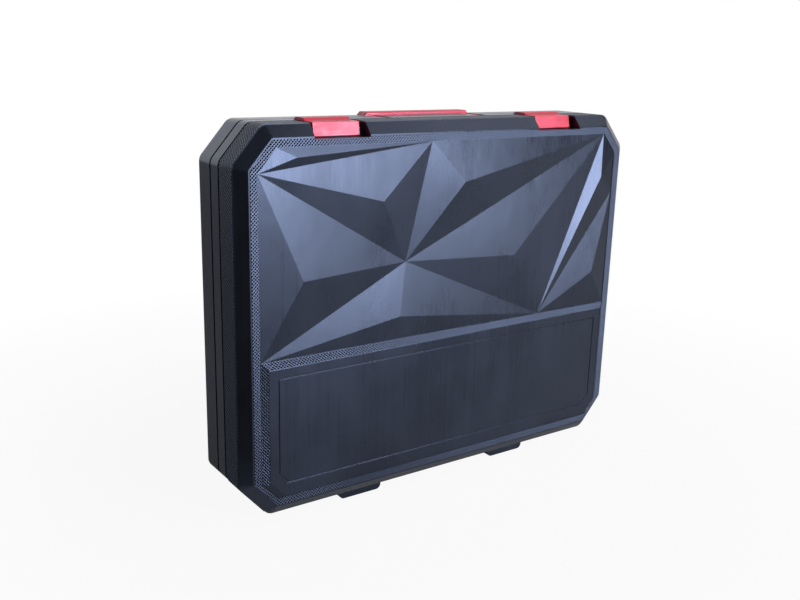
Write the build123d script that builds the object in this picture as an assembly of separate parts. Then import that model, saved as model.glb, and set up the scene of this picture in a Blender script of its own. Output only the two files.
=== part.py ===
"""A hard tool case of two double-walled plastic halves, with flip latches and a folding handle.

The case stands on its hinge edge. X runs across its width and Z runs up. The lid is at the
front, towards -Y. Inside this file Y is counted from the front face of the lid's border, and
each finished piece is moved so that the origin is at the middle of the case on its floor.
"""

import os
from math import hypot

from build123d import *

# ---- case body, in millimetres ----
body_width = 440.0
body_height = 340.0
lid_depth = 34.1
base_depth = 47.5
wall = 3.0
corner_round = 10.0
least_corner_round = 2.5
top_cut_across = 26.5
top_cut_down = 31.0
bottom_cut_across = 27.5
bottom_cut_up = 31.5
edge_slope_inset = 9.8
edge_slope_depth = 8.4
edge_round = 1.2
base_top_rise = 0.6

# ---- grooves round the sides ----
parting_groove_width = 3.0
parting_groove_depth = 1.6
side_groove_offset = 16.4
side_groove_width = 2.4
side_groove_depth = 1.7
rim_gap = 0.2

# ---- relief on the lid's face ----
border_width = 8.0
panel_rise = 4.0
panel_height = 134.5
panel_slope = 6.2
panel_low_slope = 2.2
panel_cut_across = 15.0
panel_cut_up = 16.5
peak_rise = 4.0
star_depth = 3.2
line_inset = 8.2
line_low_extra = 4.0
line_width = 1.2
line_depth = 0.7
line_cut_across = 8.5
line_cut_up = 9.5

# ---- back face of the base ----
back_panel_inset = 26.0
back_panel_depth = 1.6

# ---- feet and hinges ----
foot_height = 10.9
foot_spacing = 181.0
foot_width = 46.0
lid_foot_front = 17.0
lid_foot_back = 27.7
base_foot_front = 58.0
base_foot_length = 12.5
foot_round = 5.0
hinge_height = 5.3
knuckle_radius = 5.1
knuckle_width = 16.0
knuckle_gap = 0.35
knuckle_arm = 5.0
hinge_pin_radius = 2.0
hinge_pin_length = 44.0

# ---- latches ----
latch_spacing = 246.5
latch_width = 45.0
latch_recess_width = 54.0
latch_recess_drop = 2.1
latch_recess_depth = 5.2
latch_proud = 0.7
lip_low_front = 10.0
lip_top_front = 12.3
lip_below_border = 1.3
lip_thickness = 2.4
lip_gap = 0.5
latch_thickness = 3.0
latch_step_front = 25.4
latch_step_run = 3.4
latch_pivot_behind = 5.6
latch_barrel_radius = 4.6
latch_barrel_proud = 2.4
latch_pin_radius = 1.5
latch_pin_seat = 6.0
latch_side_gap = 0.6
latch_back_gap = 1.7
bead_up = 1.6
bead_radius = 0.8
bead_gap = 0.35
bead_end = 2.0
bead_groove_end = 1.0
latch_round = 0.5

# ---- handle ----
handle_length = 122.0
handle_end_slant = 3.0
handle_round = 1.5
handle_arm = 11.0
handle_arm_thickness = 8.0
handle_arm_below = 0.6
handle_grip_height = 11.8
handle_proud = 3.0
handle_pivot_behind = 8.0
handle_grip_front = 23.5
handle_grip_width = 14.0
handle_recess_gap = 1.2
handle_front_gap = 0.6
handle_slot_gap = 0.5
handle_pin_seat = 8.0
handle_pin_radius = 2.0
handle_pin_length = 19.0

# ---- inner walls ----
liner_wall = 2.0
plate_thickness = 2.5
plate_edge_gap = 0.4
plate_below_rim = 0.4
lid_recess_inset = 34.0
lid_recess_floor = 13.2
lid_rib_height = 4.5
lid_rib_width = 12.0
lid_rib_count = 5
lid_rib_end = 36.0
bay_depth = 33.0
small_bay_depth = 24.0
bay_round = 8.0
bay_land = 12.0
tray_margin = 24.0
tool_body_length = 232.0
tool_body_height = 84.0
tool_grip_width = 78.0
tool_grip_setback = 96.0
charger_width = 128.0
charger_height = 96.0

# ---- screws that hold the inner walls ----
post_radius = 4.2
post_inset = 14.5
screw_radius = 1.4
screw_head_radius = 3.0
screw_head_height = 1.3
screw_head_gap = 0.2
screw_length = 9.0
driver_recess_long = 3.6
driver_recess_short = 0.9

# ---- running clearance of pins in the parts that turn on them, and of fixed pins ----
running_gap = 0.07
seat_gap = 0.02

# ---- how far a cut runs past the face it opens, and how far joined solids run into each other ----
cut_past = 1.0
clear_past = 20.0
join_depth = 1.0

# ---- places worked out from the sizes above ----
bottom = foot_height
top = foot_height + body_height
parting = lid_depth
back = lid_depth + base_depth
middle_y = (back - max(panel_rise, peak_rise)) / 2
hinge_y = parting
hinge_z = hinge_height
half_foot = foot_spacing / 2
half_latch = latch_spacing / 2
base_top = top + base_top_rise
border_top = top - edge_slope_inset
field_inset = edge_slope_inset + border_width
field_half = body_width / 2 - field_inset
field_top = top - field_inset
panel_foot = bottom + edge_slope_inset + panel_height
field_bottom = panel_foot
latch_pivot_y = parting + latch_pivot_behind
latch_pivot_z = base_top + latch_barrel_proud - latch_barrel_radius
latch_floor = top - latch_recess_depth
handle_pivot_y = parting + handle_pivot_behind
handle_pivot_z = base_top - handle_arm_below - handle_arm_thickness / 2
handle_arm_low = handle_pivot_z - handle_arm_thickness / 2
handle_top = base_top + handle_proud
handle_grip_low = handle_top - handle_grip_height
handle_floor = handle_grip_low - handle_recess_gap
handle_grip_y = handle_pivot_y + handle_grip_front
handle_slot_front = handle_pivot_y - handle_arm_thickness / 2 - handle_front_gap
SIDES = (("left", -1), ("right", 1))
DRIVER_RECESS = (
    (driver_recess_long, driver_recess_short),
    (driver_recess_short, driver_recess_long),
)


# ---- drawing helpers ----
def cut_legs(across, along, inset, rise=0.0):
    """The two legs of a cut corner once the outline is moved in and its end is moved out."""
    slack = across + along - hypot(across, along)
    new_across = across - inset * slack / along
    new_along = along - inset * slack / across
    return new_across + rise * across / along, new_along + rise


def outline_points(inset, rise=0.0):
    """Corners of the case's outline, moved in by inset all round, with its top raised by rise."""
    half = body_width / 2 - inset
    low = bottom + inset
    high = top - inset + rise
    top_x, top_z = cut_legs(top_cut_across, top_cut_down, inset, rise)
    low_x, low_z = cut_legs(bottom_cut_across, bottom_cut_up, inset)
    right = [
        (half - low_x, low),
        (half, low + low_z),
        (half, high - top_z),
        (half - top_x, high),
    ]
    left = [(-x, z) for x, z in reversed(right)]
    return right + left


def rounded(points, radius):
    """A closed flat shape through the points, with its corners rounded."""
    shape = make_face(Polyline(*points, close=True))
    return fillet(shape.vertices(), radius) if radius else shape


def outline(inset, rise=0.0):
    """The case's outline moved in by inset, with corners that get sharper as it moves in."""
    return rounded(outline_points(inset, rise), max(corner_round - inset, least_corner_round))


def across_face(shape, y):
    """The flat shape, drawn in X and Z, placed at depth y."""
    return Plane.XZ.offset(-y) * shape


def slab(shape, front, rear):
    """The flat shape, drawn in X and Z, made solid from depth front to depth rear."""
    return extrude(across_face(shape, rear), amount=rear - front)


def taper(front_shape, front, rear_shape, rear):
    """A solid with straight sloping sides between two flat shapes of the same kind."""
    return loft([across_face(front_shape, front), across_face(rear_shape, rear)], ruled=True)


def bar(shape, left, right):
    """The flat shape, drawn in Y and Z, made solid from x = left to x = right."""
    return extrude(Plane.YZ.offset(left) * shape, amount=right - left)


def block(x0, x1, y0, y1, z0, z1):
    return Pos((x0 + x1) / 2, (y0 + y1) / 2, (z0 + z1) / 2) * Box(x1 - x0, y1 - y0, z1 - z0)


def rod(radius, left, right, y, z):
    """A round bar along X."""
    turn = Rotation(0, 90, 0)
    return Pos((left + right) / 2, y, z) * (turn * Cylinder(radius, right - left))


def post(radius, x, z, front, rear):
    """A round bar along Y."""
    turn = Rotation(90, 0, 0)
    return Pos(x, (front + rear) / 2, z) * (turn * Cylinder(radius, rear - front))


def closed_solid(faces):
    """A solid from flat faces that meet edge to edge."""
    solid = Solid(Shell(faces))
    return solid if solid.volume > 0 else Solid(Shell([-face for face in faces]))


# ---- relief of the lid's face ----
def field_corners():
    """Corners of the field inside the border, above the raised panel."""
    across, down = cut_legs(top_cut_across, top_cut_down, field_inset)
    return {
        "low left": (-field_half, field_bottom, 0.0),
        "cut left": (-field_half, field_top - down, 0.0),
        "top left": (-field_half + across, field_top, 0.0),
        "top right": (field_half - across, field_top, 0.0),
        "cut right": (field_half, field_top - down, 0.0),
        "low right": (field_half, field_bottom, 0.0),
    }


# Share of the field's width, share of its height, and share of peak_rise for each peak.
STAR_PEAKS = {
    "far left peak": (0.085, 0.955, 0.62),
    "left peak": (0.295, 0.721, 0.60),
    "low left peak": (0.097, 0.375, 1.0),
    "low peak": (0.347, 0.122, 0.40),
    "top peak": (0.513, 0.788, 1.0),
    "middle peak": (0.677, 0.364, 0.45),
    "right peak": (0.950, 0.760, 1.0),
    "low right peak": (0.941, 0.203, 1.0),
}


def star_points():
    """Points of the faceted relief, as X, Z and depth. Those inside the field are shares of it."""
    points = field_corners()

    def inside(name, share_x, share_z, depth):
        x = -field_half + share_x * 2 * field_half
        z = field_bottom + share_z * (field_top - field_bottom)
        points[name] = (x, z, depth)

    inside("top valley", 0.423, 1.0, 0.0)
    inside("low valley", 0.769, 0.0, 0.0)
    inside("right valley", 1.0, 0.666, 0.0)
    inside("centre", 0.365, 0.399, star_depth)
    for name, (share_x, share_z, rise) in STAR_PEAKS.items():
        inside(name, share_x, share_z, -rise * peak_rise)
    return points


STAR_FACETS = (
    ("top left", "far left peak", "cut left"),
    ("top left", "top valley", "far left peak"),
    ("cut left", "far left peak", "top valley"),
    ("cut left", "top valley", "left peak"),
    ("left peak", "top valley", "centre"),
    ("cut left", "left peak", "centre"),
    ("cut left", "centre", "low left peak"),
    ("cut left", "low left peak", "low left"),
    ("low left peak", "centre", "low left"),
    ("low left", "centre", "low peak"),
    ("low left", "low peak", "low valley"),
    ("low peak", "centre", "low valley"),
    ("top valley", "top peak", "centre"),
    ("top valley", "top right", "top peak"),
    ("top peak", "top right", "centre"),
    ("centre", "top right", "middle peak"),
    ("centre", "middle peak", "low valley"),
    ("middle peak", "top right", "low valley"),
    ("top right", "right peak", "low valley"),
    ("top right", "cut right", "right peak"),
    ("cut right", "right valley", "right peak"),
    ("right peak", "right valley", "low valley"),
    ("right valley", "low right peak", "low valley"),
    ("right valley", "low right", "low right peak"),
    ("low right peak", "low right", "low valley"),
)
FIELD_EDGE = (
    "low left",
    "cut left",
    "top left",
    "top valley",
    "top right",
    "cut right",
    "right valley",
    "low right",
    "low valley",
)


def star_block(shift, rear):
    """The faceted relief moved back by shift, made solid as far as the flat plane at rear."""
    places = {name: Vector(x, y + shift, z) for name, (x, z, y) in star_points().items()}
    behind = {name: Vector(places[name].X, rear, places[name].Z) for name in FIELD_EDGE}
    faces = [Face(Wire.make_polygon([places[name] for name in facet])) for facet in STAR_FACETS]
    for here, there in zip(FIELD_EDGE, FIELD_EDGE[1:] + FIELD_EDGE[:1]):
        corners = [places[here], places[there], behind[there], behind[here]]
        faces.append(Face(Wire.make_polygon(corners)))
    faces.append(Face(Wire.make_polygon([behind[name] for name in FIELD_EDGE])))
    return closed_solid(faces)


def field_shape():
    """The field's outline as a flat shape."""
    return make_face(Polyline(*[(x, z) for x, z, _ in field_corners().values()], close=True))


def panel_points(inset, low_inset):
    """Corners of the raised panel, moved in by inset, and by low_inset along its lower edge."""
    half = field_half - inset
    low = bottom + field_inset + low_inset
    high = panel_foot - inset
    return [
        (half - panel_cut_across, low),
        (half, low + panel_cut_up),
        (half, high),
        (-half, high),
        (-half, low + panel_cut_up),
        (-half + panel_cut_across, low),
    ]


def panel_shape(inset, low_inset):
    return make_face(Polyline(*panel_points(inset, low_inset), close=True))


def panel_pad(shift, shrink):
    """The raised panel with its sloping edges, moved back by shift and made smaller by shrink."""
    foot = panel_shape(shrink, shrink)
    crown = panel_shape(panel_slope + shrink, panel_low_slope + shrink)
    return taper(crown, shift - panel_rise, foot, shift)


def line_shape(inset):
    """The panel's inner line, moved in by inset."""
    half = field_half - panel_slope - line_inset - inset
    low = bottom + field_inset + panel_low_slope + line_inset + line_low_extra + inset
    high = panel_foot - panel_slope - line_inset - inset
    points = [
        (half - line_cut_across, low),
        (half, low + line_cut_up),
        (half, high),
        (-half, high),
        (-half, low + line_cut_up),
        (-half + line_cut_across, low),
    ]
    return make_face(Polyline(*points, close=True))


def panel_line():
    """The thin groove that runs round the panel."""
    ring = line_shape(0.0) - line_shape(line_width)
    return slab(ring, -panel_rise - cut_past, -panel_rise + line_depth)


# ---- cuts that both halves share ----
def side_groove(front, width, depth, rise=0.0):
    """A groove right round the sides."""
    ring = outline(-cut_past, rise) - outline(depth, rise)
    return slab(ring, front, front + width)


def post_places():
    """X and Z of the screw posts, round the edge of each half."""
    half = body_width / 2 - post_inset
    high = top - top_cut_down - post_inset
    low = bottom + bottom_cut_up + post_inset
    middle = (high + low) / 2
    return [(side * half, z) for side in (-1, 1) for z in (low, middle, high)]


def latch_floor_profile():
    """Section of the latch recess in the lid, in Y and Z, open forwards and upwards."""
    tip_y, tip_z, behind, slope = lip_tip()
    foot = border_top - latch_recess_drop
    wall_y = tip_y + behind - (tip_z - foot) / slope + lip_gap
    points = [
        (-clear_past, base_top + clear_past),
        (-clear_past, foot),
        (wall_y, foot),
        (wall_y + (latch_floor - foot) / slope, latch_floor),
        (parting + cut_past, latch_floor),
        (parting + cut_past, base_top + clear_past),
    ]
    return make_face(Polyline(*points, close=True))


def lip_tip():
    """Y and Z of a latch lip's outer tip, how far behind it the inner one is, and its slope."""
    tip_z = border_top - lip_below_border
    slope = (top + latch_proud - tip_z) / (lip_top_front - lip_low_front)
    return lip_low_front, tip_z, lip_thickness * hypot(1.0, slope) / slope, slope


def bead_place():
    """Y and Z of the snap bead on the inner face of a latch's lip."""
    tip_y, tip_z, behind, slope = lip_tip()
    return tip_y + behind + bead_up / slope, tip_z + bead_up


def latch_recess(side):
    """The space that a latch lies in, with the groove that its bead snaps into."""
    centre = side * half_latch
    half = latch_recess_width / 2
    recess = bar(latch_floor_profile(), centre - half, centre + half)
    y, z = bead_place()
    reach = latch_width / 2 + bead_groove_end
    return recess + rod(bead_radius + bead_gap, centre - reach, centre + reach, y, z)


def round_edges_at(body, depths):
    """The body with the edges that lie at each of the depths rounded."""
    for depth in depths:
        edges = body.edges().filter_by_position(Axis.Y, depth, depth)
        body = fillet(edges, edge_round)
    return body


# ---- lid ----
def lid_outside():
    sloped = taper(outline(edge_slope_inset), 0.0, outline(0.0), edge_slope_depth)
    body = sloped + slab(outline(0.0), edge_slope_depth, parting - rim_gap / 2)
    body = round_edges_at(body, (0.0, edge_slope_depth))
    body -= slab(field_shape(), -cut_past, star_depth + wall)
    body += star_block(0.0, star_depth + 2 * wall)
    body += panel_pad(0.0, 0.0)
    body -= panel_line()
    groove = parting_groove_width / 2
    return body - side_groove(parting - groove, groove + cut_past, parting_groove_depth)


def lid_inside():
    """The space inside the lid's outer wall."""
    rim = slab(outline(wall), edge_slope_depth + wall / 2, parting + cut_past)
    sloped = taper(
        outline(edge_slope_inset + wall / 2), wall, outline(wall), edge_slope_depth + wall / 2
    )
    space = rim + sloped
    space -= slab(field_shape(), 0.0, star_depth + 2 * wall)
    space += star_block(wall, parting - 2 * wall)
    return space + panel_pad(wall, wall / 2)


def foot_block(side, front, rear):
    """A foot with two rounded lower corners, which runs a little way up into its half."""
    left = side * half_foot - foot_width / 2
    right = left + foot_width
    foot = block(left, right, front, rear, 0.0, bottom + join_depth)
    return fillet(foot.edges().filter_by(Axis.Y).group_by(Axis.Z)[0], foot_round)


def lid_foot(side):
    """A foot of the lid, with the middle knuckle of its hinge."""
    half = knuckle_width / 2 - knuckle_gap
    left = side * half_foot - half
    right = side * half_foot + half
    start = lid_foot_back - join_depth
    arm_low = hinge_z - knuckle_radius
    arm_high = hinge_z + knuckle_radius
    foot = foot_block(side, lid_foot_front, lid_foot_back)
    foot += block(left, right, start, hinge_y, arm_low, arm_high)
    foot += block(left, right, start, hinge_y - rim_gap / 2, hinge_z, bottom + join_depth)
    foot += rod(knuckle_radius, left, right, hinge_y, hinge_z)
    bore = rod(hinge_pin_radius + running_gap, left - cut_past, right + cut_past, hinge_y, hinge_z)
    return foot - bore


def latch_backing_box(side, extra=0.0):
    """The space behind a latch recess that the lid's wall fills."""
    centre = side * half_latch
    half = latch_recess_width / 2 + wall + extra
    low = border_top - latch_recess_drop - wall - extra
    return block(centre - half, centre + half, 0.0, parting - rim_gap / 2, low, top)


def make_lid_shell():
    outside = lid_outside()
    shell = outside - lid_inside()
    for _, side in SIDES:
        shell += latch_backing_box(side) & outside
        shell -= latch_recess(side)
        shell += lid_foot(side)
    for x, z in post_places():
        shell += post(post_radius, x, z, wall / 2, liner_front())
        shell -= post(screw_radius, x, z, liner_front() - screw_length, liner_front() + cut_past)
    return shell


def liner_front():
    """Depth of the face of the lid's inner wall that its posts touch."""
    return parting - plate_below_rim - plate_thickness


def inner_plate(front, keep_clear):
    """The flat rim of an inner wall, which stops short of everything in keep_clear."""
    plate = slab(outline(wall + plate_edge_gap), front, front + plate_thickness)
    for piece in keep_clear:
        plate -= piece
    return plate


def lid_recess_shape(grow):
    """The shallow recess in the lid's inner wall, made larger by grow."""
    half = body_width / 2 - lid_recess_inset + grow
    low = bottom + lid_recess_inset - grow
    high = top - lid_recess_inset + grow
    shape = make_face(Polyline((-half, low), (half, low), (half, high), (-half, high), close=True))
    return fillet(shape.vertices(), bay_round + grow)


def make_lid_liner():
    front = liner_front()
    floor = parting - plate_below_rim - lid_recess_floor
    liner = inner_plate(front, [latch_backing_box(side, plate_edge_gap) for _, side in SIDES])
    liner += slab(lid_recess_shape(liner_wall), floor - liner_wall, front + plate_thickness / 2)
    liner -= slab(lid_recess_shape(0.0), floor, parting)
    for rib in lid_ribs(floor):
        liner += rib
    face = front + plate_thickness
    for x, z in post_places():
        liner -= screw_hole(x, z, face, -1)
    return liner


def lid_ribs(floor):
    """Upright ribs that stiffen the floor of the lid's recess."""
    span = body_width - 2 * lid_recess_inset
    pitch = span / (lid_rib_count + 1)
    middle = bottom + body_height / 2
    length = body_height - 2 * lid_recess_inset - 2 * lid_rib_end
    crown_width = lid_rib_width / 2
    crown_length = length - crown_width
    ribs = []
    for number in range(lid_rib_count):
        place = Pos(-span / 2 + (number + 1) * pitch, middle)
        foot = place * Rectangle(lid_rib_width, length)
        crown = place * Rectangle(crown_width, crown_length)
        ribs.append(taper(foot, floor - liner_wall / 2, crown, floor + lid_rib_height))
    return ribs


def screw_seat(face, towards):
    """Depth of the outer side of a screw's head, which lies below the face of its plate."""
    return face + towards * screw_head_gap


def along(radius, x, z, start, end):
    """A round bar along Y between two depths given in either order."""
    return post(radius, x, z, min(start, end), max(start, end))


def screw_hole(x, z, face, towards):
    """A clearance hole through a plate, with a counterbore for the head."""
    head = along(
        screw_head_radius + screw_head_gap,
        x,
        z,
        face - towards * cut_past,
        screw_seat(face, towards) + towards * screw_head_height,
    )
    through = face + towards * (plate_thickness + cut_past)
    return head + along(screw_radius + screw_head_gap, x, z, face, through)


def make_screws(face, towards):
    """Screws through an inner wall into its posts, driven from the face of its plate."""
    outer = screw_seat(face, towards)
    inner = outer + towards * screw_head_height
    tip = outer + towards * screw_length
    screws = Part()
    for x, z in post_places():
        screw = along(screw_head_radius, x, z, outer, inner)
        screw += along(screw_radius - seat_gap, x, z, inner, tip)
        for wide, high in DRIVER_RECESS:
            screw -= Pos(x, outer, z) * Box(wide, screw_head_height, high)
        screws += screw
    return screws


# ---- base ----
def base_outside():
    straight = slab(outline(0.0, base_top_rise), parting + rim_gap / 2, back - edge_slope_depth)
    sloped = taper(
        outline(0.0, base_top_rise),
        back - edge_slope_depth,
        outline(edge_slope_inset, base_top_rise),
        back,
    )
    body = round_edges_at(straight + sloped, (back - edge_slope_depth, back))
    body -= slab(outline(back_panel_inset), back - back_panel_depth, back + cut_past)
    groove = parting_groove_width / 2
    body -= side_groove(parting - cut_past, groove + cut_past, parting_groove_depth, base_top_rise)
    return body - side_groove(
        parting + side_groove_offset - side_groove_width / 2,
        side_groove_width,
        side_groove_depth,
        base_top_rise,
    )


def base_inside():
    """The space inside the base's outer wall."""
    slope_start = back - edge_slope_depth - wall / 2
    rim = slab(outline(wall), parting - cut_past, slope_start)
    sloped = taper(outline(wall), slope_start, outline(edge_slope_inset + wall / 2), back - wall)
    panel = slab(outline(back_panel_inset - wall), back - wall - back_panel_depth, back)
    return rim + sloped - panel


def base_foot(side):
    """A rear foot, and in front of it the two outer knuckles of the hinge."""
    centre = side * half_foot
    foot = foot_block(side, base_foot_front, base_foot_front + base_foot_length)
    for way in (-1, 1):
        left, right = sorted((centre + way * knuckle_width / 2, centre + way * foot_width / 2))
        front = hinge_y + rim_gap / 2
        foot += rod(knuckle_radius, left, right, hinge_y, hinge_z)
        foot += block(left, right, front, hinge_y + knuckle_arm, hinge_z, bottom + join_depth)
    half = foot_width / 2 + cut_past
    return foot - rod(hinge_pin_radius + seat_gap, centre - half, centre + half, hinge_y, hinge_z)


def latch_seat_box(side, extra=0.0):
    """The block inside the base that carries a latch's pin."""
    centre = side * half_latch
    half = latch_width / 2 + latch_side_gap + latch_pin_seat + wall + extra
    low = latch_pivot_z - latch_barrel_radius - latch_side_gap - wall - extra
    far = latch_pivot_y + latch_barrel_radius + latch_back_gap + wall + extra
    high = base_top - join_depth
    return block(centre - half, centre + half, parting + rim_gap / 2, far, low, high)


def latch_seat_cut(side):
    """The notch that a latch turns in, and the holes for its pin."""
    centre = side * half_latch
    half = latch_width / 2 + latch_side_gap
    low = latch_pivot_z - latch_barrel_radius - latch_side_gap
    far = latch_pivot_y + latch_barrel_radius + latch_back_gap
    high = base_top + clear_past
    notch = block(centre - half, centre + half, parting - cut_past, far, low, high)
    reach = half + latch_pin_seat
    return notch + rod(
        latch_pin_radius + seat_gap, centre - reach, centre + reach, latch_pivot_y, latch_pivot_z
    )


def handle_seat_box(extra=0.0):
    """The block inside the base that carries the handle's pins and its recess."""
    half = handle_length / 2 + handle_slot_gap + handle_pin_seat + wall + extra
    low = handle_floor - wall - extra
    return block(-half, half, parting + rim_gap / 2, back, low, base_top - join_depth)


def handle_seat_hollow():
    """The space under the case's top between the handle's two arms."""
    half = handle_length / 2 - handle_arm - handle_pin_seat - wall
    front = handle_pivot_y + handle_arm_thickness / 2 + wall
    rear = handle_grip_y - handle_recess_gap - wall
    return block(-half, half, front, rear, handle_floor - wall - cut_past, base_top - wall)


def handle_recess():
    """The trough that the grip lies in, open at the back, and a slot for each arm."""
    half = handle_length / 2 + handle_recess_gap
    high = base_top + clear_past
    trough_front = handle_grip_y - handle_recess_gap
    recess = block(-half, half, trough_front, back + cut_past, handle_floor, high)
    floor = handle_arm_low - handle_slot_gap
    for way in (-1, 1):
        inner = handle_length / 2 - handle_arm - handle_slot_gap
        outer = handle_length / 2 + handle_slot_gap
        left, right = sorted((way * inner, way * outer))
        recess += block(left, right, handle_slot_front, trough_front + join_depth, floor, high)
    return recess


def handle_pin_span(side):
    """X of the two ends of a handle pin."""
    outer = handle_length / 2 + handle_slot_gap + handle_pin_seat
    ends = (side * outer, side * (outer - handle_pin_length))
    return min(ends), max(ends)


def make_base_shell():
    outside = base_outside()
    shell = outside - base_inside()
    shell += handle_seat_box() & outside
    shell -= handle_seat_hollow()
    shell -= handle_recess()
    for _, side in SIDES:
        left, right = handle_pin_span(side)
        shell -= rod(handle_pin_radius + seat_gap, left, right, handle_pivot_y, handle_pivot_z)
        shell += latch_seat_box(side) & outside
        shell -= latch_seat_cut(side)
        shell += base_foot(side)
    for x, z in post_places():
        shell += post(post_radius, x, z, tray_rear(), back - wall / 2)
        shell -= post(screw_radius, x, z, tray_rear() - cut_past, tray_rear() + screw_length)
    return shell


def tray_front():
    return parting + plate_below_rim


def tray_rear():
    """Depth of the face of the tray's rim that its posts touch."""
    return tray_front() + plate_thickness


def bays():
    """Left, right, low and high edges of each bay of the tray, and its depth."""
    left = -body_width / 2 + tray_margin + bay_land
    right = body_width / 2 - tray_margin - bay_land
    low = bottom + tray_margin + bay_land
    high = top - tray_margin - top_cut_down / 2
    body_right = left + tool_body_length
    body_low = high - tool_body_height
    grip_left = left + tool_grip_setback
    grip_right = grip_left + tool_grip_width
    charger_left = right - charger_width
    charger_high = low + charger_height
    battery_left = body_right + bay_land
    battery_low = charger_high + bay_land
    bits_right = grip_left - bay_land
    bits_high = body_low - bay_land
    return {
        "tool body": (left, body_right, body_low, high, bay_depth),
        "tool grip": (grip_left, grip_right, low, body_low + bay_round, bay_depth),
        "battery": (battery_left, right, battery_low, high, bay_depth),
        "charger": (charger_left, right, low, charger_high, bay_depth),
        "bits": (left, bits_right, low + bay_land, bits_high, small_bay_depth),
    }


def bay_shape(left, right, low, high, grow):
    shape = Pos((left + right) / 2, (low + high) / 2) * Rectangle(right - left, high - low)
    shape = fillet(shape.vertices(), bay_round)
    return offset(shape, amount=grow) if grow else shape


def make_base_tray():
    front = tray_front()
    keep_clear = [latch_seat_box(side, plate_edge_gap) for _, side in SIDES]
    keep_clear.append(handle_seat_box(plate_edge_gap))
    tray = inner_plate(front, keep_clear)
    for left, right, low, high, depth in bays().values():
        cup = bay_shape(left, right, low, high, liner_wall)
        tray += slab(cup, front + plate_thickness / 2, front + depth + liner_wall)
    for left, right, low, high, depth in bays().values():
        tray -= slab(bay_shape(left, right, low, high, 0.0), front - cut_past, front + depth)
    for x, z in post_places():
        tray -= screw_hole(x, z, front, 1)
    return tray


# ---- moving pieces ----
def latch_profile():
    """Side view of a latch in Y and Z: the lip over the lid's edge, a flat, a step and the barrel."""
    knee_z = top + latch_proud
    tip_y, tip_z, behind, slope = lip_tip()
    step_top = latch_pivot_z + latch_barrel_radius
    step_back = latch_step_front + latch_step_run
    under = knee_z - latch_thickness
    points = [
        (tip_y, tip_z),
        (lip_top_front, knee_z),
        (latch_step_front, knee_z),
        (step_back, step_top),
        (latch_pivot_y, step_top),
        (latch_pivot_y, latch_pivot_z),
        (latch_pivot_y - latch_barrel_radius, latch_pivot_z),
        (step_back + latch_thickness / 2, step_top - latch_thickness),
        (latch_step_front + latch_thickness / 2, under),
        (tip_y + behind + (under - tip_z) / slope, under),
        (tip_y + behind, tip_z),
    ]
    shape = make_face(Polyline(*points, close=True))
    barrel_front = latch_pivot_y - latch_barrel_radius
    outer = shape.vertices().filter_by(lambda corner: corner.X < barrel_front - latch_round)
    return fillet(outer, latch_round)


def make_latch(side):
    centre = side * half_latch
    half = latch_width / 2
    latch = bar(latch_profile(), centre - half, centre + half)
    latch += rod(latch_barrel_radius, centre - half, centre + half, latch_pivot_y, latch_pivot_z)
    y, z = bead_place()
    latch += rod(bead_radius, centre - half + bead_end, centre + half - bead_end, y, z)
    hole = latch_pin_radius + running_gap
    reach = half + cut_past
    return latch - rod(hole, centre - reach, centre + reach, latch_pivot_y, latch_pivot_z)


def make_latch_pin(side):
    centre = side * half_latch
    reach = latch_width / 2 + latch_side_gap + latch_pin_seat
    return rod(latch_pin_radius, centre - reach, centre + reach, latch_pivot_y, latch_pivot_z)


def make_handle():
    half = handle_length / 2
    inner = half - handle_arm
    slant = handle_end_slant
    ends = [
        (-half, handle_grip_low),
        (half, handle_grip_low),
        (half, handle_top - slant),
        (half - slant, handle_top),
        (-half + slant, handle_top),
        (-half, handle_top - slant),
    ]
    grip_shape = make_face(Polyline(*ends, close=True))
    grip = slab(grip_shape, handle_grip_y, handle_grip_y + handle_grip_width)
    handle = fillet(grip.edges(), handle_round)
    rear = handle_grip_y + handle_grip_width / 2
    radius = handle_arm_thickness / 2
    for way in (-1, 1):
        left, right = sorted((way * inner, way * half))
        high = handle_arm_low + handle_arm_thickness
        handle += block(left, right, handle_pivot_y, rear, handle_arm_low, high)
        handle += rod(radius, left, right, handle_pivot_y, handle_pivot_z)
        pin_left, pin_right = handle_pin_span(way)
        hole = handle_pin_radius + running_gap
        handle -= rod(hole, pin_left - cut_past, pin_right + cut_past, handle_pivot_y, handle_pivot_z)
    return handle


def make_handle_pin(side):
    left, right = handle_pin_span(side)
    return rod(handle_pin_radius, left, right, handle_pivot_y, handle_pivot_z)


def make_hinge_pin(side):
    centre = side * half_foot
    half = hinge_pin_length / 2
    return rod(hinge_pin_radius, centre - half, centre + half, hinge_y, hinge_z)


# ---- all pieces ----
def pieces():
    yield "lid_shell", make_lid_shell()
    yield "lid_liner", make_lid_liner()
    yield "lid_liner_screws", make_screws(parting - plate_below_rim, -1)
    yield "base_shell", make_base_shell()
    yield "base_tray", make_base_tray()
    yield "base_tray_screws", make_screws(tray_front(), 1)
    yield "handle", make_handle()
    for name, side in SIDES:
        yield f"latch_{name}", make_latch(side)
        yield f"latch_pin_{name}", make_latch_pin(side)
        yield f"handle_pin_{name}", make_handle_pin(side)
        yield f"hinge_pin_{name}", make_hinge_pin(side)


os.makedirs("parts", exist_ok=True)
for node, shape in pieces():
    export_step(Pos(0, -middle_y, 0) * shape, f"parts/{node}.step")
    print(node, len(shape.solids()), round(shape.volume))
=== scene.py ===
# %% [markdown]
# # A hard tool case
#
# The case is made of a few large plastic mouldings. The CAD model already has their true shape,
# so it is loaded as a fixed frame, and this script adds what CAD leaves out: the moulded
# knurling, the finish of each plastic and metal, the light and the camera.

# %% Load the frame
import math

import bmesh
import bpy
import numpy as np
from mathutils import Matrix, Vector


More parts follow.
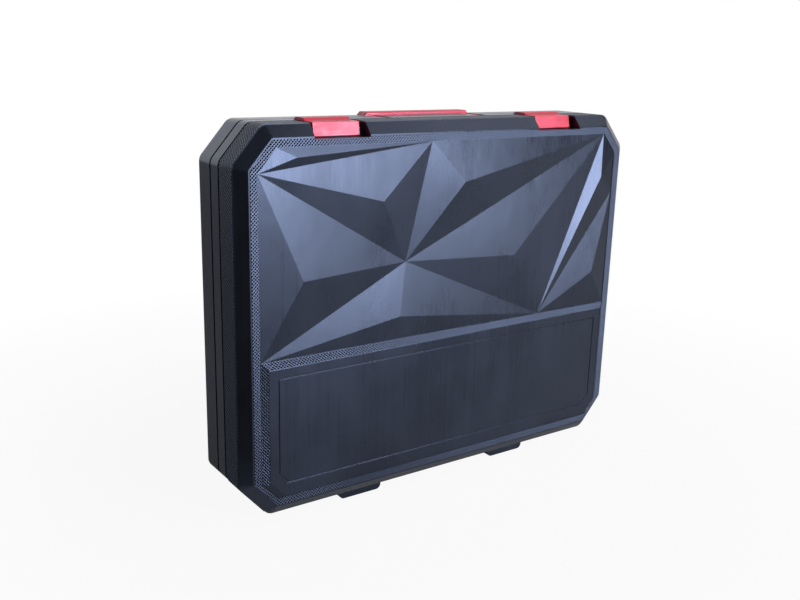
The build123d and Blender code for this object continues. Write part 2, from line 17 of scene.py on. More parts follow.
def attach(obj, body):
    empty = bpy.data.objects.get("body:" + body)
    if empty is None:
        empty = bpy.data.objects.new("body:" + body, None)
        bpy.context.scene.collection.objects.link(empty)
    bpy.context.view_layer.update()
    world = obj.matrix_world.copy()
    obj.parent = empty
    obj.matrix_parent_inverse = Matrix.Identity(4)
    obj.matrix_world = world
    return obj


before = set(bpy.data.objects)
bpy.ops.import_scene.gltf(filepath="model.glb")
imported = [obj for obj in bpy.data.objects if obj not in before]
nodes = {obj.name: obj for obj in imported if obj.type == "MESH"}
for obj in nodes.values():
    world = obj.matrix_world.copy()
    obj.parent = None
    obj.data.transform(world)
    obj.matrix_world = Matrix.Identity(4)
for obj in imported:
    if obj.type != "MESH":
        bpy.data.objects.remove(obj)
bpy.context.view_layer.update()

# %% [markdown]
# ## Camera
#
# The camera stands where the photographer stood: to the left of the case and a little above
# it, turned towards the right. Its place follows from the straight edges of the case in the
# picture. A matrix made of the camera's right, up and backward directions sets it exactly,
# which is simpler than aiming it with a constraint.

# %% Place the camera
YAW, PITCH, ROLL = math.radians(35.15), math.radians(15.15), math.radians(-1.47)
CAMERA_PLACE = Vector((-0.53105, -0.70516, 0.41260))
FOCAL_LENGTH = 42.0

forward = Vector(
    (math.sin(YAW) * math.cos(PITCH), math.cos(YAW) * math.cos(PITCH), -math.sin(PITCH))
)
level_right = Vector((math.cos(YAW), -math.sin(YAW), 0.0))
level_down = forward.cross(level_right)
right = math.cos(ROLL) * level_right + math.sin(ROLL) * level_down
down = -math.sin(ROLL) * level_right + math.cos(ROLL) * level_down

camera = bpy.data.objects.new("camera", bpy.data.cameras.new("camera"))
bpy.context.scene.collection.objects.link(camera)
camera.data.lens = FOCAL_LENGTH
camera.data.sensor_width = 36.0
turn = Matrix((right, -down, -forward)).transposed()
camera.matrix_world = Matrix.Translation(CAMERA_PLACE) @ turn.to_4x4()
bpy.context.scene.camera = camera
print("camera at", tuple(CAMERA_PLACE))

# %% [markdown]
# ## Materials
#
# Every finish is a small node tree around one Principled shader. The helpers below keep each
# tree readable: one makes the material, one adds a noise pattern measured in metres of the
# object's own coordinates, and one turns a pattern into a range of values.

# %% Node helpers
def new_material(name):
    """An empty node material with its Principled shader, its output and its object coordinates."""
    material = bpy.data.materials.new(name)
    material.use_nodes = True
    tree = material.node_tree
    tree.nodes.clear()
    shader = tree.nodes.new("ShaderNodeBsdfPrincipled")
    output = tree.nodes.new("ShaderNodeOutputMaterial")
    tree.links.new(shader.outputs["BSDF"], output.inputs["Surface"])
    place = tree.nodes.new("ShaderNodeTexCoord")
    return material, tree, shader, place.outputs["Object"]


def noise(tree, place, per_metre, detail=3.0, roughness=0.5, distortion=0.0):
    """A noise pattern with per_metre bumps in a metre along X, Y and Z."""
    mapping = tree.nodes.new("ShaderNodeMapping")
    mapping.inputs["Scale"].default_value = per_metre
    pattern = tree.nodes.new("ShaderNodeTexNoise")
    pattern.inputs["Scale"].default_value = 1.0
    pattern.inputs["Detail"].default_value = detail
    pattern.inputs["Roughness"].default_value = roughness
    pattern.inputs["Distortion"].default_value = distortion
    tree.links.new(place, mapping.inputs["Vector"])
    tree.links.new(mapping.outputs["Vector"], pattern.inputs["Vector"])
    return pattern.outputs["Fac"]


def remap(tree, value, from_low, from_high, to_low, to_high):
    """The value moved from one range to another, and held inside it."""
    node = tree.nodes.new("ShaderNodeMapRange")
    tree.links.new(value, node.inputs["Value"])
    for key, number in zip(
        ("From Min", "From Max", "To Min", "To Max"), (from_low, from_high, to_low, to_high)
    ):
        node.inputs[key].default_value = number
    return node.outputs["Result"]


def combine(tree, operation, first, second):
    """Two values put together by a Math node. Either may be a number."""
    node = tree.nodes.new("ShaderNodeMath")
    node.operation = operation
    for socket, value in zip(node.inputs, (first, second)):
        if isinstance(value, (int, float)):
            socket.default_value = value
        else:
            tree.links.new(value, socket)
    return node.outputs[0]


def weighted_sum(tree, *pairs):
    """The sum of some patterns, each times its own weight."""
    total = None
    for pattern, weight in pairs:
        part = combine(tree, "MULTIPLY", pattern, weight)
        total = part if total is None else combine(tree, "ADD", total, part)
    return total


def blend_colours(tree, share, first, second):
    """A colour between two others."""
    node = tree.nodes.new("ShaderNodeMix")
    node.data_type = "RGBA"
    tree.links.new(share, node.inputs["Factor"])
    node.inputs["A"].default_value = (*first, 1.0)
    node.inputs["B"].default_value = (*second, 1.0)
    return node.outputs["Result"]


def bump(tree, shader, height, distance, radius=0.0):
    """Relief in metres on the shader, over edges softened to the given radius."""
    node = tree.nodes.new("ShaderNodeBump")
    node.inputs["Strength"].default_value = 1.0
    node.inputs["Distance"].default_value = distance
    tree.links.new(height, node.inputs["Height"])
    if radius:
        edge = tree.nodes.new("ShaderNodeBevel")
        edge.samples = 4
        edge.inputs["Radius"].default_value = radius
        tree.links.new(edge.outputs["Normal"], node.inputs["Normal"])
    tree.links.new(node.outputs["Normal"], shader.inputs["Normal"])


def dress(node_names, material):
    """Gives the material to CAD nodes, in the slots that they already have."""
    for name in node_names:
        for slot in nodes[name].material_slots:
            slot.material = material


# %% [markdown]
# ### Black case plastic
#
# The halves are moulded in black plastic with a satin skin. It is nearly black by itself
# and shows mostly what it reflects, with a cold tint. Long faint streaks run down it, where the
# hot plastic slid along the mould, and large soft patches vary its gloss. Both are noise in
# object coordinates. The streaks are the same noise stretched along Z. A picture of a real
# surface could give the same marks, but noise has no seams and its scale is known in metres.
#
# The knurled faces are the same plastic. Their rims shine more than the flat faces and their pits
# are dark: the rims get a stronger gloss, a painted sheen, and the pits lose theirs, a painted
# shade.

# %% Make the case plastic
CASE_BLACK = (0.004, 0.0045, 0.0055)
CASE_GREY = (0.008, 0.009, 0.011)
COLD_TINT = (0.48, 0.61, 1.0)
CASE_GLOSS = 0.95
STREAKS_PER_METRE = (650.0, 650.0, 4.0)
PATCHES_PER_METRE = (14.0, 14.0, 9.0)
GRAINS_PER_METRE = (1500.0, 1500.0, 1500.0)
RIPPLE_HEIGHT = 0.00004
PIT_SHADE_RANGE = (0.12, 0.40)


def case_plastic(name, rough_low, rough_high, edge_radius, ior=1.52):
    """Satin black plastic with streaks and patches. Edges look rounded to edge_radius."""
    material, tree, shader, place = new_material(name)
    streaks = noise(tree, place, STREAKS_PER_METRE, 3.0, 0.55)
    patches = noise(tree, place, PATCHES_PER_METRE, 3.0, 0.55)
    grain = noise(tree, place, GRAINS_PER_METRE, 2.0)
    both = weighted_sum(tree, (streaks, 0.3), (patches, 0.7))
    rough = remap(tree, both, 0.35, 0.65, rough_low, rough_high)
    tree.links.new(rough, shader.inputs["Roughness"])
    share = remap(tree, both, 0.40, 0.70, 0.0, 1.0)
    tree.links.new(blend_colours(tree, share, CASE_BLACK, CASE_GREY), shader.inputs["Base Color"])
    shader.inputs["IOR"].default_value = ior
    shader.inputs["Specular IOR Level"].default_value = CASE_GLOSS
    shader.inputs["Specular Tint"].default_value = (*COLD_TINT, 1.0)
    ripple = weighted_sum(tree, (grain, 0.3), (patches, 18.0), (streaks, 0.25))
    bump(tree, shader, ripple, RIPPLE_HEIGHT, edge_radius)
    return material


def paint_shade_in_pits(material):
    """Takes the gloss away where the mesh's pit value is high, towards the bottom of each pit:
    painted shade in the pits.
    """
    tree = material.node_tree
    shader = next(node for node in tree.nodes if node.type == "BSDF_PRINCIPLED")
    pit = tree.nodes.new("ShaderNodeAttribute")
    pit.attribute_name = "pit"
    gloss = remap(tree, pit.outputs["Fac"], *PIT_SHADE_RANGE, CASE_GLOSS, 0.0)
    tree.links.new(gloss, shader.inputs["Specular IOR Level"])
    return material


case_black = case_plastic("case_plastic_satin", 0.23, 0.36, 0.0008)
dress(("lid_shell", "base_shell"), case_black)
# The side band's knurling: painted shade in its pits.
knurl_black_painted_shade = paint_shade_in_pits(case_plastic("case_plastic_knurled_painted_shade", 0.30, 0.40, 0.0))
# The border and panel knurling: an IOR of 1.95 gives the rims a painted sheen, and the pits get
# painted shade.
crest_black_painted_sheen_and_shade = paint_shade_in_pits(case_plastic("case_plastic_crests_painted_sheen_and_shade", 0.28, 0.38, 0.0, 1.95))
print("case plastic on", ("lid_shell", "base_shell"))

# %% [markdown]
# ### Red plastic
#
# The latches and the handle are injection-moulded in red plastic, smoother than the case. Red
# pigment lets some light in, so the colour is a little deeper in patches. The strong gloss with
# a pink tint gives the pale glare on top, and fine scratches along X break it up.

# %% Make the red plastic
RED_DEEP = (0.62, 0.006, 0.022)
RED_LIGHT = (0.78, 0.012, 0.035)
PINK_TINT = (0.9, 0.72, 1.0)


def red_plastic():
    """Semi-gloss red plastic with faint flow marks and hairline scratches."""
    material, tree, shader, place = new_material("red_plastic_gloss")
    flow = noise(tree, place, (60.0, 90.0, 90.0), 3.0, 0.5, 0.6)
    scratches = noise(tree, place, (25.0, 900.0, 900.0), 3.0, 0.7)
    share = remap(tree, flow, 0.35, 0.65, 0.0, 1.0)
    tree.links.new(blend_colours(tree, share, RED_DEEP, RED_LIGHT), shader.inputs["Base Color"])
    worn = weighted_sum(tree, (scratches, 0.4), (flow, 0.6))
    tree.links.new(remap(tree, worn, 0.38, 0.62, 0.30, 0.52), shader.inputs["Roughness"])
    shader.inputs["IOR"].default_value = 1.6
    shader.inputs["Specular Tint"].default_value = (*PINK_TINT, 1.0)
    shader.inputs["Specular IOR Level"].default_value = 1.0
    bump(tree, shader, scratches, 0.00002, 0.0005)
    return material


red_nodes = ("latch_left", "latch_right", "handle")
dress(red_nodes, red_plastic())
print("red plastic on", red_nodes)

# %% [markdown]
# ### Inner walls
#
# The liner and tray are thinner sheets with a fine matt texture, duller than the outside. A
# fine noise gives their texture, and soft patches show where the sheet was drawn thin.

# %% Make the inner plastic
INNER_BLACK = (0.016, 0.016, 0.018)
INNER_GREY = (0.03, 0.03, 0.033)


def inner_plastic():
    """Matt black sheet with a fine pebble texture."""
    material, tree, shader, place = new_material("inner_plastic_matt")
    pebbles = noise(tree, place, (900.0, 900.0, 900.0), 2.0)
    drawn = noise(tree, place, (12.0, 12.0, 12.0), 2.0)
    share = remap(tree, drawn, 0.35, 0.65, 0.0, 1.0)
    tree.links.new(blend_colours(tree, share, INNER_BLACK, INNER_GREY), shader.inputs["Base Color"])
    tree.links.new(remap(tree, pebbles, 0.3, 0.7, 0.5, 0.66), shader.inputs["Roughness"])
    bump(tree, shader, pebbles, 0.00006, 0.0006)
    return material


inner_nodes = ("lid_liner", "base_tray")
dress(inner_nodes, inner_plastic())
print("inner plastic on", inner_nodes)

# %% [markdown]
# ### Pins and screws
#
# The pins are drawn steel wire, so their marks run along X, the length of each pin. The screws
# are zinc plated and darker. Both are the same tree with other numbers.

# %% Make the steels
def steel(name, colour, rough_low, rough_high, per_metre):
    """Bare metal whose gloss varies along its marks."""
    material, tree, shader, place = new_material(name)
    marks = noise(tree, place, per_metre, 4.0, 0.6)
    darker = tuple(0.7 * part for part in colour)
    share = remap(tree, marks, 0.35, 0.65, 0.0, 1.0)
    tree.links.new(blend_colours(tree, share, darker, colour), shader.inputs["Base Color"])
    tree.links.new(remap(tree, marks, 0.3, 0.7, rough_low, rough_high), shader.inputs["Roughness"])
    shader.inputs["Metallic"].default_value = 1.0
    bump(tree, shader, marks, 0.00001)
    return material


pins = [name for name in nodes if "_pin_" in name]
dress(pins, steel("drawn_steel", (0.60, 0.60, 0.62), 0.22, 0.38, (60.0, 2500.0, 2500.0)))
dress(
    ("lid_liner_screws", "base_tray_screws"),
    steel("dark_zinc", (0.32, 0.32, 0.35), 0.3, 0.45, (900.0, 900.0, 900.0)),
)
print("steel on", len(pins), "pins")

# %% [markdown]
# ## Knurling
#
# The lid's border, the slopes of its raised panel and the band round its side are covered with
# small square pits that stand on their corners, in even diagonal rows. Up close the pits catch
# light and shade, so they are real geometry, not a bump pattern. A sheet of pits is a square
# grid turned by 45 degrees. Each cell has a rim and four walls that meet in a point. The rims
# are low ridges, highest between two cells, because a mould's cut edges come out rounded. The
# sheet lies half a millimetre above the moulding, and its pits reach nearly down to it.

# %% Make a sheet of pits
PIT_SPACING = 0.0030
CELL = PIT_SPACING / math.sqrt(2)
RIM_SHARE = 0.75
SHEET_LIFT = 0.00055
RIM_FALL = 0.00005
PIT_FLOOR = 0.00003


def pit_sheet(low, high):
    """Vertices and faces of pits over a rectangle of the U, V plane.

    Cell i, j of a square grid is turned by 45 degrees: u = (i + j) * cell / sqrt 2 and
    v = (i - j) * cell / sqrt 2. Each cell has its four corners, four rim points that are the
    corners moved towards its middle, and its middle lowered to the pit's floor. Points are in
    U, V and the height above the moulding. The rim points lie lower than the corners.
    """
    span = np.array(high) - np.array(low)
    reach = int(np.ceil((span[0] + span[1]) / CELL / math.sqrt(2))) + 2
    i, j = np.meshgrid(np.arange(-reach, reach), np.arange(-reach, reach), indexing="ij")
    middle_u = (i + j + 1) * CELL / math.sqrt(2)
    middle_v = (i - j) * CELL / math.sqrt(2)
    centre = (np.array(low) + np.array(high)) / 2
    centre = np.round(centre / PIT_SPACING) * PIT_SPACING
    near = (np.abs(middle_u + centre[0] - (low[0] + high[0]) / 2) < span[0] / 2 + PIT_SPACING) & (
        np.abs(middle_v + centre[1] - (low[1] + high[1]) / 2) < span[1] / 2 + PIT_SPACING
    )
    u, v = middle_u[near] + centre[0], middle_v[near] + centre[1]
    half = PIT_SPACING / 2
    ways = np.array([(half, 0), (0, half), (-half, 0), (0, -half)])
    middle = np.stack([u, v], axis=1)
    corner = middle[:, None, :] + ways[None, :, :]
    rim = middle[:, None, :] + RIM_SHARE * ways[None, :, :]
    flat = np.concatenate([corner, rim, middle[:, None, :]], axis=1)
    height = np.full(flat.shape[:2] + (1,), SHEET_LIFT)
    height[:, 4:8] = SHEET_LIFT - RIM_FALL
    height[:, 8] = PIT_FLOOR
    points = np.concatenate([flat, height], axis=2).reshape(-1, 3)
    first = np.arange(len(u))[:, None] * 9
    quads = [(k, (k + 1) % 4, 4 + (k + 1) % 4, 4 + k) for k in range(4)]
    walls = [(4 + k, 4 + (k + 1) % 4, 8) for k in range(4)]
    faces = [list(face) for quad in quads for face in (first + np.array(quad)).tolist()]
    faces += [list(face) for wall in walls for face in (first + np.array(wall)).tolist()]
    return points, faces


def cut_sheet(corners):
    """A bmesh of pits cut to a convex outline in the U, V plane, given anticlockwise."""
    outline = np.array(corners)
    points, faces = pit_sheet(outline.min(axis=0), outline.max(axis=0))
    mesh = bpy.data.meshes.new("cut")
    mesh.from_pydata(points.tolist(), [], faces)
    pit = mesh.attributes.new("pit", "FLOAT", "POINT")
    pit.data.foreach_set("value", 1.0 - points[:, 2] / SHEET_LIFT)
    sheet = bmesh.new()
    sheet.from_mesh(mesh)
    bpy.data.meshes.remove(mesh)
    bmesh.ops.remove_doubles(sheet, verts=sheet.verts, dist=1e-6)
    for here, there in zip(outline, np.roll(outline, -1, axis=0)):
        outward = (there[1] - here[1], here[0] - there[0], 0.0)
        bmesh.ops.bisect_plane(
            sheet,
            geom=sheet.verts[:] + sheet.edges[:] + sheet.faces[:],
            plane_co=(here[0], here[1], 0.0),
            plane_no=outward,
            clear_outer=True,
        )
    return sheet


def join_sheets(sheets):
    """One bmesh from several, welded where they meet."""
    whole = bmesh.new()
    for sheet in sheets:
        mesh = bpy.data.meshes.new("join")
        sheet.to_mesh(mesh)
        whole.from_mesh(mesh)
        bpy.data.meshes.remove(mesh)
        sheet.free()
    bmesh.ops.remove_doubles(whole, verts=whole.verts, dist=2e-6)
    return whole


def add_skirt(sheet, depth=0.0001):
    """Closes the sheet's open edges with a strip that runs down into the moulding."""
    open_edges = [edge for edge in sheet.edges if len(edge.link_faces) == 1]
    made = bmesh.ops.extrude_edge_only(sheet, edges=open_edges)["geom"]
    for vert in (part for part in made if isinstance(part, bmesh.types.BMVert)):
        vert.co.z = -depth


def finish_knurl(name, sheet, place, material=crest_black_painted_sheen_and_shade):
    """Turns a sheet in U, V and height into an object by the place function, which maps arrays."""
    add_skirt(sheet)
    mesh = bpy.data.meshes.new(name)
    sheet.to_mesh(mesh)
    sheet.free()
    flat = np.zeros(len(mesh.vertices) * 3)
    mesh.vertices.foreach_get("co", flat)
    mesh.vertices.foreach_set("co", place(flat.reshape(-1, 3)).ravel())
    mesh.materials.append(material)
    mesh.update()
    piece = bpy.data.objects.new(name, mesh)
    bpy.context.scene.collection.objects.link(piece)
    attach(piece, "lid")
    print(name, "faces", len(mesh.polygons))


# %% [markdown]
# ### Where the mouldings are
#
# The outline of the case is a rectangle with four cut corners. The sizes below are those of
# the CAD model, in metres, so each knurled band can be laid exactly on its face. A cut corner
# has two sizes, its leg along X and its leg along Z. The margins keep the pits off the edges.

# %% Sizes of the lid
HALF_WIDTH = 0.220
FLOOR_GAP = 0.0109
HEIGHT = 0.340
LID_FRONT = -0.0388
LID_DEPTH = 0.0341
TOP_CUT = (0.0265, 0.0310)
LOW_CUT = (0.0275, 0.0315)
SLOPE_INSET = 0.0098
SLOPE_DEPTH = 0.0084
BORDER = 0.008
PANEL_RISE = 0.004
PANEL_SLOPE = 0.0062
PANEL_CUT = (0.015, 0.0165)
PANEL_HEIGHT = 0.1345
LATCH_PLACE = 0.12325
LATCH_RECESS = 0.054
LATCH_DROP = 0.0021
RECESS_MARGIN = 0.0004
SLOPE_MARGIN = 0.0004


def cut_legs(cut, inset):
    """Legs of a cut corner after its outline moves in by inset."""
    across, along = cut
    slack = across + along - math.hypot(across, along)
    return across - inset * slack / along, along - inset * slack / across


def outline_corners(inset):
    """Corners of the case's outline in X and Z, anticlockwise from the lower right cut."""
    half = HALF_WIDTH - inset
    low, high = FLOOR_GAP + inset, FLOOR_GAP + HEIGHT - inset
    top_x, top_z = cut_legs(TOP_CUT, inset)
    low_x, low_z = cut_legs(LOW_CUT, inset)
    right = [(half - low_x, low), (half, low + low_z), (half, high - top_z), (half - top_x, high)]
    return right + [(-x, z) for x, z in reversed(right)]


print("border corners", [tuple(round(v, 4) for v in p) for p in outline_corners(SLOPE_INSET)])

# %% [markdown]
# ### Border of the lid
#
# The border is a flat ring, 8 mm wide. Its pits stand in one grid that does not turn with the
# corners, so each straight stretch of the ring is cut from the same grid and welded to the
# next. Under each latch the border is lower, and so is its knurling.

# %% Lay pits on the border
OUTER_MARGIN = 0.0013
INNER_MARGIN = 0.0002


def inner_corners():
    """Corners of the border's inner edge, in the order of outline_corners."""
    half = HALF_WIDTH - SLOPE_INSET - BORDER + INNER_MARGIN
    low = FLOOR_GAP + SLOPE_INSET + BORDER - INNER_MARGIN
    top = outline_corners(SLOPE_INSET + BORDER - INNER_MARGIN)[2:6]
    right = [(half - PANEL_CUT[0], low), (half, low + PANEL_CUT[1])]
    left = [(-x, z) for x, z in reversed(right)]
    return right + list(top) + left


def border_stretches():
    """Convex pieces of the ring. The top one is divided where the latches lower it."""
    outer = outline_corners(SLOPE_INSET + OUTER_MARGIN)
    inner = inner_corners()
    stretches = []
    top = 3
    for k in (k for k in range(8) if k != top):
        following = (k + 1) % 8
        stretches.append([outer[k], outer[following], inner[following], inner[k]])
    low = inner[top][1]
    high = outer[top][1]
    notch = FLOOR_GAP + HEIGHT - SLOPE_INSET - LATCH_DROP - RECESS_MARGIN
    start = LATCH_PLACE - LATCH_RECESS / 2 - RECESS_MARGIN
    end = LATCH_PLACE + LATCH_RECESS / 2 + RECESS_MARGIN
    for side in (-1, 1):
        ends = sorted((side * start, side * end))
        stretches.append([(ends[0], low), (ends[1], low), (ends[1], notch), (ends[0], notch)])
        corner = top if side > 0 else top + 1
        tip = [(side * end, low), inner[corner], outer[corner], (side * end, high)]
        stretches.append(tip if side > 0 else tip[::-1])
    stretches.append([(-start, low), (start, low), (start, high), (-start, high)])
    return stretches


def on_border(points):
    """U is X, V is Z, and height is counted forward from the border's face."""
    return np.stack([points[:, 0], LID_FRONT - points[:, 2], points[:, 1]], axis=1)


border = join_sheets([cut_sheet(part) for part in border_stretches()])
finish_knurl("lid_border_knurl", border, on_border)

# %% [markdown]
# ### Slopes of the raised panel
#
# The panel stands 4 mm proud of the lid. Its top, left and right slopes are knurled. Each is a
# flat strip, laid out in its own plane, so a plane is given by an origin and two directions.

# %% Lay pits on the panel's slopes
def on_plane(origin, along, up):
    """A place function for the plane through origin, spanned by two unit directions."""
    along, up = np.array(along), np.array(up)
    normal = np.cross(along, up)

    def place(points):
        return np.array(origin) + points @ np.stack([along, up, normal])

    return place


def panel_slopes():
    """Name, outline, and plane of each knurled slope."""
    half = HALF_WIDTH - SLOPE_INSET - BORDER
    crown = half - PANEL_SLOPE
    high = FLOOR_GAP + SLOPE_INSET + PANEL_HEIGHT
    low = FLOOR_GAP + SLOPE_INSET + BORDER + PANEL_CUT[1]
    length = math.hypot(PANEL_SLOPE, PANEL_RISE)
    lean = PANEL_SLOPE / length
    front = -PANEL_RISE / length
    margin = SLOPE_MARGIN
    top = [
        (-half + margin, margin),
        (half - margin, margin),
        (crown - margin, length - margin),
        (-crown + margin, length - margin),
    ]
    yield "panel_top_knurl", top[::-1], ((0, LID_FRONT, high), (1, 0, 0), (0, front, -lean))
    tall = high - low
    for name, side in (("left", -1), ("right", 1)):
        edge = [
            (margin, margin),
            (length - margin, margin),
            (length - margin, tall - PANEL_SLOPE - margin),
            (margin, tall - margin),
        ]
        yield (
            f"panel_{name}_knurl",
            edge,
            ((side * half, LID_FRONT, low), (-side * lean, front, 0), (0, 0, 1)),
        )


def anticlockwise(outline):
    """The outline in anticlockwise order, in which its edges' cross products add up to over zero."""
    edges = np.roll(outline, -1, axis=0) - np.array(outline)
    turning = np.cross(edges, np.roll(edges, -1, axis=0)).sum()
    return outline[::-1] if turning < 0 else outline


for name, outline, (origin, along, up) in panel_slopes():
    faces_backward = np.cross(along, up)[1] > 0
    if faces_backward:
        outline = [(u, -v) for u, v in outline]
        up = tuple(-part for part in up)
    finish_knurl(name, cut_sheet(anticlockwise(outline)), on_plane(origin, along, up))

# %% [markdown]
# ### Band round the lid's side
#
# The side of the lid is knurled from the sloped edge to the parting line. Laid flat, this band
# is a long rectangle: U is the distance round the outline and V is the depth. It is cut to
# length flat and then wrapped round the outline, corners and all. The bottom stays plain, so
# the lid can lie flat against the base when it is wide open.

# %% Wrap pits round the side
BAND_FRONT = LID_FRONT + SLOPE_DEPTH + 0.0012
BAND_REAR = LID_FRONT + LID_DEPTH - 0.0019
CORNER_ROUND = 0.010
ARC_STEPS = 12


def rounded_path():
    """Points and outward directions along the outline, with each corner turned on an arc.

    A corner's arc has its centre one radius inside both edges. Its points are the centre plus
    the radius times a direction that turns evenly from one edge's normal to the next one's.
    """
    corners = np.array(outline_corners(0.0))
    edges = np.roll(corners, -1, axis=0) - corners
    edges /= np.linalg.norm(edges, axis=1)[:, None]
    normals = np.stack([edges[:, 1], -edges[:, 0]], axis=1)
    points, outward = [], []
    for k in range(8):
        before, after = normals[k - 1], normals[k]
        centre = corners[k] - CORNER_ROUND * (before + after) / (1 + before @ after)
        start = math.atan2(before[1], before[0])
        swing = math.atan2(before[0] * after[1] - before[1] * after[0], before @ after)
        angles = start + swing * np.linspace(0, 1, ARC_STEPS + 1)
        ways = np.stack([np.cos(angles), np.sin(angles)], axis=1)
        points.append(centre + CORNER_ROUND * ways)
        outward.append(ways)
    return np.concatenate(points), np.concatenate(outward)


path_points, path_normals = rounded_path()
closed_points = np.concatenate([path_points, path_points[:1]])
closed_normals = np.concatenate([path_normals, path_normals[:1]])
steps = np.linalg.norm(np.diff(closed_points, axis=0), axis=1)
distance = np.concatenate([[0.0], np.cumsum(steps)])


def on_band(points):
    """U is the distance round the outline, V the depth, and height is counted outwards."""
    u = np.mod(points[:, 0], distance[-1])
    x, z = (np.interp(u, distance, closed_points[:, axis]) for axis in (0, 1))
    out = np.stack([np.interp(u, distance, closed_normals[:, axis]) for axis in (0, 1)], axis=1)
    out /= np.linalg.norm(out, axis=1)[:, None]
    lift = points[:, 2]
    return np.stack([x + lift * out[:, 0], points[:, 1], z + lift * out[:, 1]], axis=1)


def distance_at_top(x):
    """Distance round the outline of a place on its top edge."""
    top = FLOOR_GAP + HEIGHT
    on_top = np.abs(closed_points[:, 1] - top) < 1e-6
    order = np.argsort(closed_points[on_top, 0])
    return float(np.interp(x, closed_points[on_top, 0][order], distance[on_top][order]))


half_recess = LATCH_RECESS / 2 + RECESS_MARGIN
marks = [
    distance_at_top(side * LATCH_PLACE + way * half_recess) for side in (1, -1) for way in (1, -1)
]
right_start, left_end = distance[ARC_STEPS], distance[7 * (ARC_STEPS + 1)]
spans = [(right_start, marks[0]), (marks[1], marks[2]), (marks[3], left_end)]
for name, (start, end) in zip(("lid_right_knurl", "lid_top_knurl", "lid_left_knurl"), spans):
    strip = [(start, BAND_FRONT), (end, BAND_FRONT), (end, BAND_REAR), (start, BAND_REAR)]
    finish_knurl(name, cut_sheet(strip), on_band, knurl_black_painted_shade)

# %% [markdown]
# ## Light and surroundings
#
# A large soft light to the front and right gives the bright facets, because they mirror that
# side towards the camera. A weak one stands higher on the right and lifts the far edge. The
# world is white to the camera, and mirrors show it white behind the case, as in a light tent,
# but dark in front, as the room behind a photographer is. It lights the surfaces only a little.

# %% Set the light
def area_light(name, place, target, size, power):
    """A square soft light that faces the target."""
    light = bpy.data.lights.new(name, "AREA")
    light.shape = "SQUARE"
    light.size = size
    light.energy = power
    lamp = bpy.data.objects.new(name, light)
    bpy.context.scene.collection.objects.link(lamp)
    aim = (Vector(target) - Vector(place)).to_track_quat("-Z", "Y").to_matrix().to_4x4()
    lamp.matrix_world = Matrix.Translation(place) @ aim
    print("light", name, size, "m wide,", power, "W")


CASE_MIDDLE = (0.0, 0.0, 0.18)
KEY_HEADING, KEY_HEIGHT, KEY_DISTANCE = math.radians(19.0), math.radians(10.5), 3.2
key_level = KEY_DISTANCE * math.cos(KEY_HEIGHT)
key_place = (
    key_level * math.sin(KEY_HEADING),
    -key_level * math.cos(KEY_HEADING),
    CASE_MIDDLE[2] + KEY_DISTANCE * math.sin(KEY_HEIGHT),
)
area_light("key", key_place, CASE_MIDDLE, 1.8, 114.0)
area_light("upper right", (1.0, -0.66, 1.44), CASE_MIDDLE, 1.0, 3.6)

# %% Set the surroundings
WORLD_GLOW = 0.15
BEHIND_RANGE = (-0.1, 0.3)
BEHIND_LEVELS = (0.05, 1.0)


def make_surroundings():
    """A white world for the camera. Reflections find it white only behind the case, towards +Y."""
    world = bpy.data.worlds.new("surroundings")
    world.use_nodes = True
    bpy.context.scene.world = world
    tree = world.node_tree
    tree.nodes.clear()
    seen = tree.nodes.new("ShaderNodeLightPath").outputs
    either = combine(tree, "MAXIMUM", seen["Is Camera Ray"], seen["Is Glossy Ray"])
    either = combine(tree, "MAXIMUM", either, seen["Is Transmission Ray"])
    heading = tree.nodes.new("ShaderNodeTexCoord")
    parts = tree.nodes.new("ShaderNodeSeparateXYZ")
    tree.links.new(heading.outputs["Generated"], parts.inputs["Vector"])
    behind = remap(tree, parts.outputs["Y"], *BEHIND_RANGE, *BEHIND_LEVELS)
    mirrored = combine(tree, "MULTIPLY", either, behind)
    plain = combine(tree, "MAXIMUM", mirrored, seen["Is Camera Ray"])
    strength = combine(tree, "MAXIMUM", plain, WORLD_GLOW)
    background = tree.nodes.new("ShaderNodeBackground")
    background.inputs["Color"].default_value = (1.0, 1.0, 1.0, 1.0)
    tree.links.new(strength, background.inputs["Strength"])
    output = tree.nodes.new("ShaderNodeOutputWorld")
    tree.links.new(background.outputs["Background"], output.inputs["Surface"])


make_surroundings()
print("surroundings glow", WORLD_GLOW, "where they are not white")

# %% [markdown]
# ## Floor
#
# The floor is a wide pale sheet. It takes the case's soft shadow, and away from the case it
# turns to the same white as the surroundings, so no horizon shows. The sloped edge of the left
# side is nearly black, so a part of the floor to its left and in front is a painted dark
# reflection. Only mirror reflections meet it.

# %% Lay the floor
FLOOR_WHITE = (0.82, 0.82, 0.82)
# The colour of the painted dark reflection, which only mirror reflections meet.
PAINTED_DARK_REFLECTION = (0.06, 0.06, 0.06)
PAINTED_DARK_X_RANGE = (-0.34, -0.24)
PAINTED_DARK_Y_RANGE = (-0.02, 0.08)
FADE_RANGE = (0.3, 0.8)
NEAR_WHITE = 0.92
FLOOR_REACH = 6.0


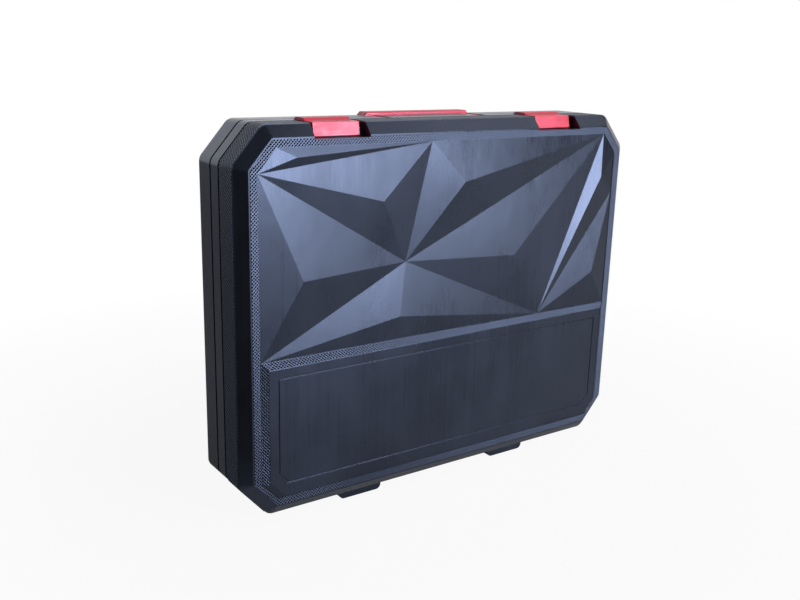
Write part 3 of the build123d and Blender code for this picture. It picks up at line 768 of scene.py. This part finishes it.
def floor_material():
    """Matt white that glows white to the camera, almost fully near the case and fully far away."""
    material, tree, shader, place = new_material("pale_floor")
    shader.inputs["Roughness"].default_value = 1.0
    shader.inputs["Specular IOR Level"].default_value = 0.0
    glow = tree.nodes.new("ShaderNodeEmission")
    glow.inputs["Strength"].default_value = 1.0
    seen = tree.nodes.new("ShaderNodeLightPath").outputs
    parts = tree.nodes.new("ShaderNodeSeparateXYZ")
    tree.links.new(place, parts.inputs["Vector"])
    # The patch to the left and in front is a painted dark reflection, dark to mirror rays only.
    leftwards = remap(tree, parts.outputs["X"], *PAINTED_DARK_X_RANGE, 1.0, 0.0)
    forwards = remap(tree, parts.outputs["Y"], *PAINTED_DARK_Y_RANGE, 1.0, 0.0)
    painted_dark_share = combine(tree, "MULTIPLY", leftwards, forwards)
    painted_dark_share = combine(tree, "MULTIPLY", painted_dark_share, seen["Is Glossy Ray"])
    tree.links.new(blend_colours(tree, painted_dark_share, FLOOR_WHITE, PAINTED_DARK_REFLECTION), shader.inputs["Base Color"])
    length = tree.nodes.new("ShaderNodeVectorMath")
    length.operation = "LENGTH"
    tree.links.new(place, length.inputs[0])
    far = remap(tree, length.outputs["Value"], *FADE_RANGE, NEAR_WHITE, 1.0)
    share = combine(tree, "MULTIPLY", far, seen["Is Camera Ray"])
    mix = tree.nodes.new("ShaderNodeMixShader")
    output = next(node for node in tree.nodes if node.type == "OUTPUT_MATERIAL")
    tree.links.new(share, mix.inputs["Fac"])
    tree.links.new(shader.outputs["BSDF"], mix.inputs[1])
    tree.links.new(glow.outputs["Emission"], mix.inputs[2])
    tree.links.new(mix.outputs["Shader"], output.inputs["Surface"])
    return material


def make_floor():
    """A flat square under the case."""
    mesh = bpy.data.meshes.new("floor")
    ways = ((-1, -1), (1, -1), (1, 1), (-1, 1))
    corners = [(x * FLOOR_REACH, y * FLOOR_REACH, 0.0) for x, y in ways]
    mesh.from_pydata(corners, [], [(0, 1, 2, 3)])
    mesh.materials.append(floor_material())
    floor = bpy.data.objects.new("floor", mesh)
    bpy.context.scene.collection.objects.link(floor)
    return floor


make_floor()
bpy.context.scene.view_settings.view_transform = "Standard"
print("floor", 2 * FLOOR_REACH, "m wide")
